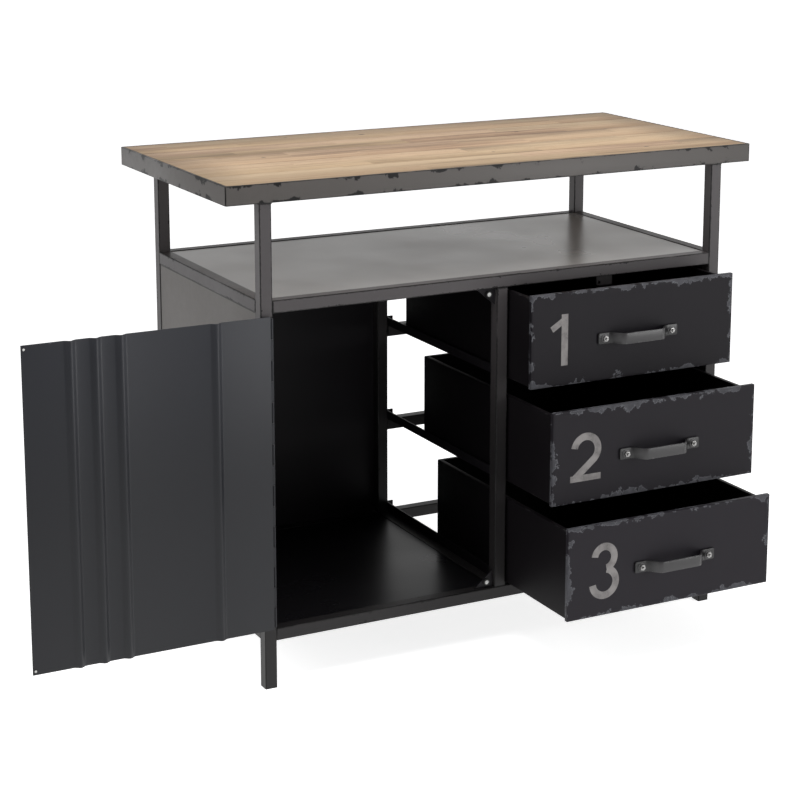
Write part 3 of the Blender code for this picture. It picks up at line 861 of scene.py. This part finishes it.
@dataclass
class Welds:
    """Lumpy fillet beads under the rim, and the seam round the back panel."""

    radius: float = 0.0021
    lumps: int = 9
    seam_lap: float = 0.0005
    seam_width: float = 0.0013
    seam_height: float = 0.0004

    def model(self, length: float) -> bpy.types.Object:
        """Models one bead along X, centred on the origin."""
        Bench.clear()
        bpy.ops.mesh.primitive_cylinder_add(
            vertices=10, radius=self.radius, depth=length, rotation=(0, math.radians(90), 0)
        )
        piece = Bench.settle(Bench.named("bead"))
        step = length / (2 * self.lumps)
        with Bench.editing(piece):
            for cut in range(1, 2 * self.lumps):
                bpy.ops.mesh.select_all(action="SELECT")
                at = -length / 2 + cut * step
                bpy.ops.mesh.bisect(plane_co=(at, 0, 0), plane_no=(1, 0, 0))
            for cut in range(0, 2 * self.lumps + 1):
                at = -length / 2 + cut * step
                swell = 0.45 if cut in (0, 2 * self.lumps) else (1.12 if cut % 2 else 0.86)
                Bench.pick(Kind.POINTS, lambda v: abs(v.co.x - at) < step / 4)
                bpy.ops.transform.resize(value=(1, swell, swell))
        return Bench.finish(piece, 80)

    def seam(self) -> None:
        """Runs a seam round the back panel, over the joint with its posts and rails."""
        low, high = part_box("back_panel")
        lap = Vector((self.seam_lap, 0.0, self.seam_lap))
        rise = Vector((0.0, self.seam_height, 0.0))
        near = Vector((high.x, low.y, high.z))
        piece = Bench.block("back_seam", low - lap - rise, near + lap + rise)
        with Bench.editing(piece):
            Bench.pick(Kind.FACES, lambda f: abs(f.normal.y) > 0.9)
            bpy.ops.mesh.inset(thickness=self.seam_width, depth=0)
            bpy.ops.mesh.delete(type="FACE")
            Bench.pick(Kind.EDGES, lambda e: len(e.link_faces) == 1)
            bpy.ops.mesh.bridge_edge_loops()
        Bench.round_edges(piece, 0.2 * MM)
        Bench.finish(piece, 40)
        INSIDE_PAINT.coat(piece)
        hand_in(piece, "carcass")

    def build(self) -> None:
        """Lays the beads in the corners under the rim, and the seam round the back panel."""
        self.seam()
        made = []
        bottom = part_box("rim_front")[0].z
        for side in ("left", "right"):
            for end in ("front", "back"):
                low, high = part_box(f"post_{end}_{side}")
                bead = self.model((high.x - low.x) * 0.9)
                for x in (low.x, high.x):
                    copy = Bench.copy(bead, f"weld_{end}_{side}_{len(made)}")
                    spot = Matrix.Translation((x, (low.y + high.y) / 2, bottom))
                    Bench.place(copy, spot @ rotation(90, "Z"))
                    made.append(copy)
                bpy.data.objects.remove(bead, do_unlink=True)
        piece = Bench.join("rim_welds", made)
        RIM_PAINT.coat(piece)
        hand_in(piece, "carcass")


@dataclass
class StrapHandle:
    """A bent flat strap on two nutted studs, modelled with X along it, Y up and Z outwards."""

    spacing: float = 0.128
    tab: float = 0.024
    plate: float = 0.076
    standoff: float = 0.022
    width: float = 0.018
    thickness: float = 0.003
    gap: float = 0.0003
    bend: float = 0.005
    washer_radius: float = 0.0066
    washer_height: float = 0.0011
    nut_radius: float = 0.0051
    nut_height: float = 0.0036
    stud_radius: float = 0.0024
    stud_height: float = 0.0056

    def strap(self, name: str) -> bpy.types.Object:
        """Models the strap: a strip extruded from bend to bend, then thickened."""
        half = self.spacing / 2
        rest = self.gap + self.thickness / 2
        out = self.standoff - self.thickness / 2
        start = half + self.tab / 2
        piece = Bench.strip(name, -start, -half + self.tab / 2, self.width)
        Bench.place(piece, Matrix.Translation((0, 0, rest)))
        bends = [(-half + self.tab / 2, rest), (-self.plate / 2, out), (self.plate / 2, out),
                 (half - self.tab / 2, rest)]
        path = [*bends, (start, rest)]
        with Bench.editing(piece):
            Bench.pick(
                Kind.EDGES, lambda e: all(abs(v.co.x - path[0][0]) < NEAR for v in e.verts)
            )
            for (x0, z0), (x1, z1) in zip(path, path[1:]):
                Bench.extrude(x1 - x0, 0, z1 - z0)
            Bench.pick(Kind.EDGES, lambda e: len(e.link_faces) == 2)
            bpy.ops.mesh.bevel(offset=self.bend, segments=6, profile=0.5)
        Bench.thicken(piece, self.thickness, 0.0)
        with Bench.editing(piece):
            Bench.pick(
                Kind.EDGES,
                lambda e: abs(e.verts[0].co.y - e.verts[1].co.y) < NEAR
                and abs(e.verts[0].co.z - e.verts[1].co.z) > 2 * MM
                and all(abs(v.co.x) > start - NEAR for v in e.verts),
            )
            bpy.ops.mesh.bevel(offset=2.5 * MM, segments=4, profile=0.5)
        Bench.round_edges(piece, 0.5 * MM)
        return Bench.finish(piece, 40)

    def fixing(self, name: str) -> bpy.types.Object:
        """Models a washer, a hexagon nut and the end of its stud, standing on Z = 0."""
        washer = Bench.drum(f"{name}_washer", self.washer_radius, self.washer_height, 28)
        Bench.round_edges(washer, 0.3 * MM)
        nut = Bench.drum(f"{name}_nut", self.nut_radius, self.nut_height, 6)
        with Bench.editing(nut):
            Bench.pick(Kind.FACES, lambda f: f.normal.z > 0.9)
            bpy.ops.mesh.inset(thickness=0.5 * MM, depth=0.35 * MM)
        Bench.round_edges(nut, 0.25 * MM)
        Bench.place(nut, Matrix.Translation((0, 0, self.washer_height)))
        stud = Bench.drum(f"{name}_stud", self.stud_radius, self.stud_height, 18)
        with Bench.editing(stud):
            Bench.pick(Kind.FACES, lambda f: f.normal.z > 0.9)
            bpy.ops.mesh.inset(thickness=0.6 * MM, depth=0.5 * MM)
        Bench.place(stud, Matrix.Translation((0, 0, self.washer_height + self.nut_height * 0.2)))
        HANDLE_PAINT.coat(washer, f"{name}_washer")
        dress(nut, BOLT_STEEL.material())
        dress(stud, BOLT_STEEL.material())
        return Bench.finish(Bench.join(name, [washer, nut, stud]), 30)

    def build(
        self, owner: str, body: str, place: Matrix, inside: Optional[float] = None
    ) -> None:
        """Builds a handle and its fixings and puts them in their place.

        Args:
            owner: What the handle is on, such as drawer_1.
            body: The body it rides on.
            place: Where the handle's middle is, on the face that it is fixed to.
            inside: How far behind that face the nuts inside stand, if there are any.
        """
        strap = Bench.place(self.strap(f"{owner}_strap"), place)
        Bench.finish(strap, 40)
        # The strap turns near-black towards the face it is fixed to: painted shade on the tabs.
        near, far = (place @ Vector((0, 0, z)) for z in (self.thickness * 2, self.standoff * 0.8))
        dark = (1, far.y, near.y)
        HANDLE_PAINT.coat(strap, shade_span=dark)
        hand_in(strap, body, f"{owner}_handle")
        face = self.gap + self.thickness
        made = []
        for side in (-1, 1):
            twist = rotation(17 if side < 0 else 44, "Z")
            spot = Vector((side * self.spacing / 2, 0, face))
            made.append(self.fixing(f"{owner}_bolt_{side + 1}"))
            Bench.place(made[-1], place @ Matrix.Translation(spot) @ twist)
            if inside is None:
                continue
            turned = rotation(180, "X")
            back = Vector((side * self.spacing / 2, 0, -inside))
            made.append(self.fixing(f"{owner}_back_bolt_{side + 1}"))
            Bench.place(made[-1], place @ Matrix.Translation(back) @ turned @ twist)
        hand_in(Bench.join(f"{owner}_bolts", made), body)


@dataclass
class Pen:
    """Draws a flat stroke in X and Y by extruding and spinning the edge at its tip."""

    name: str
    width: float = 0.0135
    depth: float = 0.00018
    piece: Optional[bpy.types.Object] = None
    at: Vector = field(default_factory=lambda: Vector((0.0, 0.0)))
    heading: float = 0.0

    def begin(self, x: float, y: float, heading: float) -> "Pen":
        """Puts the pen down with a short first stretch.

        Args:
            x: Where the stroke starts.
            y: Where the stroke starts.
            heading: Its direction, in degrees from +X.

        Returns:
            The pen.
        """
        first = 0.5 * MM
        self.piece = Bench.strip(self.name, 0.0, first, self.width)
        turn = rotation(heading, "Z")
        Bench.place(self.piece, Matrix.Translation((x, y, 0)) @ turn)
        self.heading = heading
        self.at = Vector((x, y)) + self.ahead() * first
        return self

    def ahead(self) -> Vector:
        """The direction that the pen goes in."""
        turn = math.radians(self.heading)
        return Vector((math.cos(turn), math.sin(turn)))

    def tip(self) -> None:
        """Selects the edge at the stroke's tip."""
        Bench.pick(
            Kind.EDGES,
            lambda e: len(e.link_faces) == 1
            and ((e.verts[0].co + e.verts[1].co) / 2 - self.at.to_3d()).length < NEAR,
        )

    def line(self, length: float) -> "Pen":
        """Goes straight on."""
        step = self.ahead() * length
        with Bench.editing(self.piece):
            self.tip()
            Bench.extrude(*step, 0)
        self.at = self.at + step
        return self

    def arc(self, radius: float, turn: float) -> "Pen":
        """Goes round a circle, to the left for a positive turn in degrees."""
        side = 1 if turn > 0 else -1
        ahead = self.ahead()
        centre = self.at + Vector((-ahead.y, ahead.x)) * (side * radius)
        with Bench.editing(self.piece):
            self.tip()
            bpy.ops.mesh.spin(
                steps=max(4, int(abs(turn) / 8)), angle=-math.radians(turn), dupli=False,
                center=(*centre, 0), axis=(0, 0, 1),
            )
        turned = Matrix.Rotation(math.radians(turn), 2)
        self.at = centre + turned @ (self.at - centre)
        self.heading += turn
        return self

    def lift(self) -> bpy.types.Object:
        """Finishes the stroke and gives it the paint's thickness."""
        with Bench.editing(self.piece):
            bpy.ops.mesh.select_all(action="SELECT")
            bpy.ops.mesh.remove_doubles(threshold=MM / 100)
            bpy.ops.mesh.normals_make_consistent(inside=False)
        Bench.apply(self.piece, "SOLIDIFY", thickness=self.depth, offset=0.0)
        return self.piece


@dataclass
class Numerals:
    """The stencilled numerals 1, 2 and 3, drawn from a drawer front's lower left corner."""

    stroke: float = 0.0122

    @staticmethod
    def on_circle(centre: Vector, radius: float, degrees: float) -> Vector:
        """A point on a circle, at an angle from +X."""
        turn = math.radians(degrees)
        return centre + Vector((math.cos(turn), math.sin(turn))) * radius

    def one(self) -> bpy.types.Object:
        """A stem with a slanted flag at its top."""
        name = "drawer_1_numeral"
        stem = Pen(name, self.stroke).begin(0.0612, 0.0330, 90).line(0.0835).lift()
        flag = Pen("flag", self.stroke * 0.84).begin(0.0612, 0.1085, 212).line(0.0280).lift()
        return Bench.union(stem, flag)

    def two(self) -> bpy.types.Object:
        """A hook, a slanted straight and a foot."""
        hook = Pen("drawer_2_numeral", self.stroke)
        radius = 0.0220
        spot = self.on_circle(Vector((0.0612, 0.0850)), radius, 168)
        hook.begin(*spot, 168 - 90).arc(radius, -(168 + 51)).line(0.0440)
        foot = Pen("foot", self.stroke * 0.86).begin(0.0325, 0.0399, 0).line(0.0560).lift()
        return Bench.union(hook.lift(), foot)

    def three(self) -> bpy.types.Object:
        """Two bowls that meet at the waist."""
        upper, lower = 0.0182, 0.0216
        waist = Vector((0.0668, 0.0772))
        bowl = Pen("drawer_3_numeral", self.stroke)
        spot = self.on_circle(waist + Vector((0, upper)), upper, 170)
        bowl.begin(*spot, 170 - 90).arc(upper, -(170 + 78))
        belly = Pen("belly", self.stroke)
        spot = self.on_circle(waist - Vector((0, lower)), lower, -172)
        belly.begin(*spot, -172 + 90).arc(lower, 172 + 78)
        return Bench.union(bowl.lift(), belly.lift())

    def build(self, number: int, corner: Vector) -> None:
        """Paints a drawer's numeral on its front.

        Args:
            number: The drawer's number.
            corner: The front's lower left corner.
        """
        piece = {1: self.one, 2: self.two, 3: self.three}[number]()
        Bench.place(piece, Matrix.Translation(corner) @ rotation(90, "X"))
        Bench.finish(piece, 30)
        dress(piece, NUMERAL_PAINT.material(piece.name))
        hand_in(piece, f"drawer_{number}")


@dataclass
class Drawer:
    """A sheet-metal drawer: folded box, hemmed front, strap handle and numeral."""

    number: int
    sheet: float = 0.0015
    box_sheet: float = 0.0012
    lip: float = 0.007
    handle_right: float = 0.006
    handle_down: float = 0.006

    @property
    def painted_shade(self) -> float:
        """The share of the front's paint colour kept under painted shade: the upper drawers get
        more painted shade and are darker.
        """
        return 0.48 + 0.22 * self.number

    @property
    def body(self) -> str:
        """The body that the drawer is."""
        return f"drawer_{self.number}"

    def front(self) -> None:
        """Builds the front: a tray with round folds, and a face that isn't quite flat."""
        node = f"{self.body}_front"
        low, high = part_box(node)
        piece = Bench.block(f"{self.body}_panel", low, high)
        with Bench.editing(piece):
            Bench.pick(Kind.FACES, lambda f: f.normal.y > 0.9)
            bpy.ops.mesh.delete(type="FACE")
            Bench.pick(Kind.EDGES, lambda e: all(v.co.y < low.y + MM for v in e.verts))
            bpy.ops.mesh.bevel(offset=1.6 * MM, segments=4, profile=0.5)
            Bench.pick(
                Kind.EDGES,
                lambda e: any(v.co.y <= low.y + MM for v in e.verts)
                and abs(e.verts[0].co.y - e.verts[1].co.y) > 3 * MM,
            )
            bpy.ops.mesh.bevel(offset=1.6 * MM, segments=4, profile=0.5)
            Bench.pick(Kind.FACES, lambda f: f.normal.y < -0.99 and f.calc_area() > 0.01)
            bpy.ops.mesh.inset(thickness=5 * MM, depth=0)
            bpy.ops.mesh.subdivide(number_cuts=12, smoothness=0)
        chance = random.Random(40 + self.number)
        waves = [
            (chance.uniform(9, 26), chance.uniform(9, 26), chance.uniform(0, 6.28))
            for _ in range(4)
        ]
        for point in piece.data.vertices:
            inside = min(point.co.x - low.x, high.x - point.co.x, point.co.z - low.z,
                         high.z - point.co.z)
            if point.co.y > low.y + NEAR or inside < 6 * MM:
                continue
            swell = sum(math.sin(a * point.co.x * 2 + b * point.co.z * 2 + c) for a, b, c in waves)
            point.co.y += 0.10 * MM * (1 + swell / 4)
        Bench.thicken(piece, self.sheet)
        Bench.round_edges(piece, 0.35 * MM)
        Bench.finish(piece, 40)
        # The front's colour is darkened by the drawer's painted shade.
        colour = shaded(FRONT_PAINT.colour, self.painted_shade)
        replace(FRONT_PAINT, colour=colour).coat(piece)
        hand_in(piece, self.body, node)

    def box(self) -> None:
        """Builds the box: walls and floor of thin sheet with a lip folded in round the top."""
        node = f"{self.body}_box"
        low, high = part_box(node)
        piece = Bench.block(f"{self.body}_tray", low, high)
        with Bench.editing(piece):
            Bench.pick(Kind.FACES, lambda f: f.normal.z > 0.9)
            bpy.ops.mesh.inset(thickness=self.lip, depth=0)
            bpy.ops.mesh.delete(type="FACE")
            Bench.pick(Kind.EDGES, lambda e: len(e.link_faces) == 2)
            bpy.ops.mesh.bevel(offset=1.3 * MM, segments=3, profile=0.5)
        Bench.thicken(piece, self.box_sheet)
        Bench.finish(piece, 40)
        BOX_PAINT.coat(piece)
        hand_in(piece, self.body, node)

    def build(self) -> None:
        """Builds the whole drawer."""
        self.box()
        self.front()
        low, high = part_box(f"{self.body}_front")
        centre = (low + high) / 2
        spot = Vector((centre.x + self.handle_right, low.y, centre.z - self.handle_down))
        place = Matrix.Translation(spot) @ rotation(90, "X")
        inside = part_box(f"{self.body}_box")[0].y + self.box_sheet - low.y
        StrapHandle().build(self.body, self.body, place, inside)
        Numerals().build(self.number, low)


@dataclass
class PressedDoor:
    """The door: one sheet with four round ribs, shown where it stands open."""

    sheet: float = 0.0015
    rib_width: float = 0.020
    rib_depth: float = 0.005
    rib_steps: int = 12
    ribs_from_free_edge: tuple[float, ...] = (0.0725, 0.1110, 0.1495)
    rib_from_hinge_edge: float = 0.088
    handle_from_free_edge: float = 0.034
    striker_inset: tuple[float, float] = (0.0042, 0.0062)
    striker_radius: float = 0.0018

    def profile(self, width: float) -> list[tuple[float, float]]:
        """Distance from the free edge and rise of each point across the sheet."""
        centres = [*self.ribs_from_free_edge, width - self.rib_from_hinge_edge]
        points = [(0.0, 0.0)]
        for centre in centres:
            for step in range(self.rib_steps + 1):
                share = step / self.rib_steps - 0.5
                rise = self.rib_depth * (0.5 + 0.5 * math.cos(2 * math.pi * share))
                points.append((centre + share * self.rib_width, rise))
        return [*points, (width, 0.0)]

    def build(self) -> None:
        """Builds the panel and its handle."""
        low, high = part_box("door_panel")
        face = high.y
        points = self.profile(high.x - low.x)
        height = high.z - low.z
        piece = Bench.strip("door_sheet", 0.0, points[1][0], height)
        Bench.place(
            piece,
            Matrix.Translation((low.x, face, (low.z + high.z) / 2))
            @ rotation(90, "X"),
        )
        with Bench.editing(piece):
            Bench.pick(
                Kind.EDGES,
                lambda e: all(v.co.x > low.x + points[1][0] - NEAR for v in e.verts),
            )
            for (x0, rise0), (x1, rise1) in zip(points[1:], points[2:]):
                Bench.extrude(x1 - x0, rise0 - rise1, 0)
            bpy.ops.mesh.select_all(action="SELECT")
            bpy.ops.mesh.normals_make_consistent(inside=False)
        Bench.thicken(piece, self.sheet)
        Bench.place(piece, Matrix.Translation((0, face - extent(piece)[1].y, 0)))
        Bench.round_edges(piece, 0.4 * MM)
        Bench.finish(piece, 50)
        DOOR_PAINT.coat(piece)
        hand_in(piece, "door", "door_panel")

        spot = Vector((low.x + self.handle_from_free_edge, face, (low.z + high.z) / 2))
        outwards = rotation(-90, "X")
        upright = rotation(90, "Z")
        place = Matrix.Translation(spot) @ outwards @ upright
        StrapHandle().build("door", "door", place)
        self.strikers(low, high)


    def strikers(self, low: Vector, high: Vector) -> None:
        """Sets a small bright rivet in a dark ring in both corners of the free edge."""
        made = []
        turned = rotation(90, "X")
        for z in (low.z + self.striker_inset[1], high.z - self.striker_inset[1]):
            spot = Vector((low.x + self.striker_inset[0], high.y - self.sheet, z))
            ring = Bench.drum("ring", self.striker_radius * 1.6, 0.3 * MM, 28)
            Bench.round_edges(ring, 0.1 * MM)
            RUBBER.coat(ring, "striker")
            head = Bench.drum("head", self.striker_radius, 0.8 * MM, 28)
            with Bench.editing(head):
                Bench.pick(Kind.FACES, lambda f: f.normal.z > 0.9)
                bpy.ops.mesh.inset(thickness=0.5 * MM, depth=0.15 * MM)
            Bench.round_edges(head, 0.12 * MM)
            MAGNET_FACE.coat(head, "striker")
            rivet = Bench.join("rivet", [ring, head])
            made.append(Bench.place(rivet, Matrix.Translation(spot) @ turned))
        hand_in(Bench.finish(Bench.join("door_strikers", made), 30), "door")


@dataclass
class MagnetCatch:
    """A round magnet in a dark cup on its gusset."""

    radius: float = 0.0036
    cup: float = 0.0014

    def build(self, level: str) -> None:
        """Builds the upper or lower magnet in place of its plain solid."""
        node = f"magnet_{level}"
        low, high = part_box(node)
        outer = (high.x - low.x) / 2
        depth = high.y - low.y
        cup = Bench.drum(f"{node}_catch", outer, depth, 36)
        with Bench.editing(cup):
            Bench.pick(Kind.FACES, lambda f: f.normal.z > 0.9)
            bpy.ops.mesh.inset(thickness=self.cup, depth=0)
            Bench.extrude(0, 0, -0.9 * MM)
        Bench.round_edges(cup, 0.2 * MM)
        disc = Bench.drum("disc", self.radius - 0.15 * MM, depth - 0.35 * MM, 36)
        Bench.round_edges(disc, 0.25 * MM)
        RUBBER.coat(cup, node)
        MAGNET_FACE.coat(disc, node)
        piece = Bench.join(f"{node}_catch", [cup, disc])
        centre = Vector(((low.x + high.x) / 2, high.y, (low.z + high.z) / 2))
        Bench.place(piece, Matrix.Translation(centre) @ rotation(90, "X"))
        Bench.finish(piece, 35)
        hand_in(piece, "carcass", node)


class Carried:
    """The CAD nodes whose shape stays, each with the finish it needs."""

    finishes: dict[str, Paint] = {
        "shelf_sheet": SHELF_PAINT, "side_panel": PANEL_PAINT, "floor_sheet": FLOOR_PAINT,
        "back_panel": INSIDE_PAINT, "runner": INSIDE_PAINT, "gusset": INSIDE_PAINT,
        "hinge_post_leaf": DOOR_PAINT, "hinge_door_leaf": DOOR_PAINT, "post": FRAME_PAINT,
        "rail": FRAME_PAINT, "top_crossbar": FRAME_PAINT, "drawer_stop_plate": FRAME_PAINT,
    }

    def build(self) -> None:
        """Dresses every CAD node that is still shown."""
        for name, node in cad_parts.items():
            if node.hide_render:
                continue
            if name == "hinge_pin":
                dress(node, PIN_STEEL.material())
                continue
            paint = next(p for start, p in self.finishes.items() if name.startswith(start))
            low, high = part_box(name)
            # The side panels' inner faces get near-black painted shade.
            shade_span = {
                "side_panel_left": (0, low.x + MM / 2, high.x - MM / 2),
                "side_panel_right": (0, high.x - MM / 2, low.x + MM / 2),
            }.get(name)
            dress(node, paint.material(name, low, high, shade_span))
            LOG.info("%-22s keeps its shape, in %s", name, paint.name)


@dataclass
class Studio:
    """Pale floor, soft boxes and the camera."""

    offset: Vector = field(default_factory=lambda: Vector((-1.1822, -2.7467, 1.3007)))
    turn: float = 27.305
    tilt: float = 11.556
    roll: float = 0.01
    lens: float = 91.80
    rise: float = -0.18
    floor_size: float = 60.0
    floor_glow: float = 0.78
    horizon: float = 1.0
    zenith: float = 0.30
    front_left: float = 0.12

    def camera(self) -> None:
        """Places the camera from the front left corner of the carcass."""
        data = bpy.data.cameras.new("camera")
        data.lens = self.lens
        data.sensor_width = 36.0
        data.shift_y = self.rise
        item = bpy.data.objects.new("camera", data)
        bpy.context.scene.collection.objects.link(item)
        item.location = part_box("post_front_left")[0] + self.offset
        item.rotation_euler = (
            math.radians(90 - self.tilt), math.radians(self.roll), math.radians(-self.turn)
        )
        bpy.context.scene.camera = item

    def floor(self) -> None:
        """Lays a pale floor, large enough to fill the view."""
        Bench.clear()
        bpy.ops.mesh.primitive_plane_add(size=self.floor_size, location=(0, 0, -0.1 * MM))
        floor = Bench.named("floor")
        sheet = Sheet("pale_floor")
        cloud = sheet.noise(0.8, 2.0)
        dress(floor, sheet.surface(
            Base_Color=sheet.mix(cloud, (0.90, 0.90, 0.90), (0.93, 0.93, 0.93)), Roughness=0.8,
            Specular_IOR_Level=0.1, Emission_Color=(1.0, 1.0, 1.0),
            Emission_Strength=self.floor_glow,
        ))

    def softbox(
        self, name: str, spot: tuple, target: tuple, size: tuple, power: float
    ) -> None:
        """Hangs one soft box.

        Args:
            name: Its name.
            spot: Where it is.
            target: What it points at.
            size: Its width and height.
            power: Its power in watts.
        """
        data = bpy.data.lights.new(name, "AREA")
        data.shape = "RECTANGLE"
        data.size, data.size_y = size
        data.energy = power
        item = bpy.data.objects.new(name, data)
        bpy.context.scene.collection.objects.link(item)
        item.location = spot
        aim = Vector(target) - Vector(spot)
        item.rotation_euler = aim.to_track_quat("-Z", "Y").to_euler()

    def world(self) -> None:
        """Makes the room's own soft light: white round the horizon, dim above and front left."""
        sky = Sky("studio")
        x, y, z = sky.axes()
        level = self.horizon + (self.zenith - self.horizon) * z.step(0.22, 0.50)
        lit = y.step(-0.60, -0.25).most(x.step(-0.20, 0.30))
        share = self.front_left + (1 - self.front_left) * lit
        sky.surface(Color=(1.0, 1.0, 1.0), Strength=level * share)
        bpy.context.scene.world = sky.world

    def build(self) -> None:
        """Sets up the whole studio."""
        self.camera()
        self.floor()
        self.world()
        self.softbox("overhead", (0.20, -0.45, 1.70), (0.20, 0.0, 0.70), (1.5, 0.8), 19)
        self.softbox("front_right", (2.2, -2.6, 0.9), (0.2, -0.1, 0.4), (1.4, 1.4), 30)
        self.softbox("left", (-1.7, 0.0, 1.35), (-0.3, 0.1, 0.6), (1.0, 1.0), 11)
        bpy.context.scene.view_settings.view_transform = "Standard"


def main() -> None:
    """Builds every sub-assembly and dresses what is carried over."""
    logging.basicConfig(level=logging.INFO, format="%(message)s")
    Studio().build()
    PlankTop().build()
    Welds().build()
    PressedDoor().build()
    for number in (1, 2, 3):
        Drawer(number).build()
    for level in ("upper", "lower"):
        MagnetCatch().build(level)
    Carried().build()


if __name__ == "__main__":
    main()
